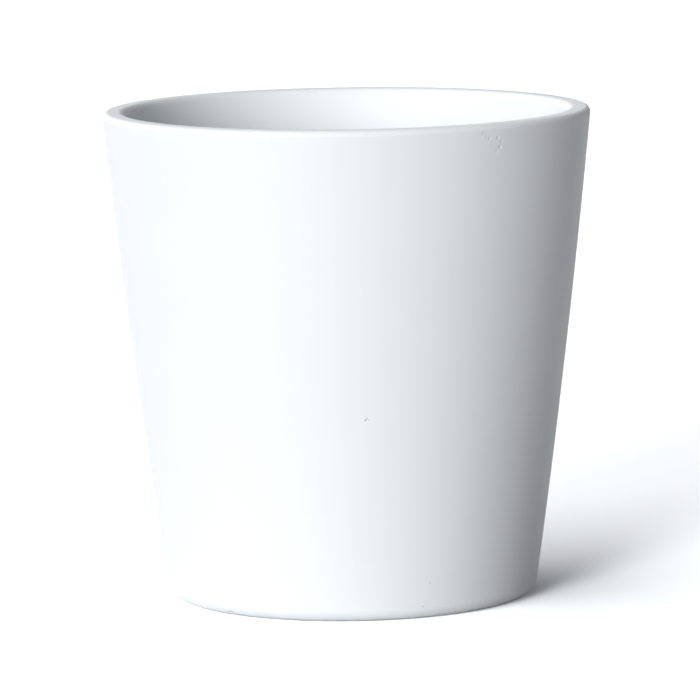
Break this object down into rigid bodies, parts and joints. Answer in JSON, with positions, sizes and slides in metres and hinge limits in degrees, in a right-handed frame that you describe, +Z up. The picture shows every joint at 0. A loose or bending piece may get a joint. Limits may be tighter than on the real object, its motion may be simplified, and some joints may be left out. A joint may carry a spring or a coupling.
{
  "type": "flower pot",
  "caption": "Round tapered ceramic flower pot with a thick wall, an open mouth, a recessed foot, a drain hole with a pull-out plug, and pads under it.",
  "frame": {"origin": "on the pot's axis, in the plane that it stands on, which is the underside of its pads", "axes": "+Z up along the pot's axis, towards its mouth; -Y is the side that faces the camera in the picture, and +X is to the right there"},
  "size_m": [0.1496, 0.1496, 0.1501],
  "materials": {
    "pot": "matte",
    "plug": "satin",
    "pads": "satin"
  },
  "bodies": {
    "pot": {"pot_body": "pot", "foot_pad_front_left": "pads", "foot_pad_front_right": "pads", "foot_pad_back_right": "pads", "foot_pad_back_left": "pads"},
    "plug": {"drain_plug": "plug"}
  },
  "joints": [
    {"name": "plug_pull", "type": "slide", "parent": "pot", "child": "plug", "axis": [0, 0, 1], "range_m": [0, 0.16]}
  ]
}
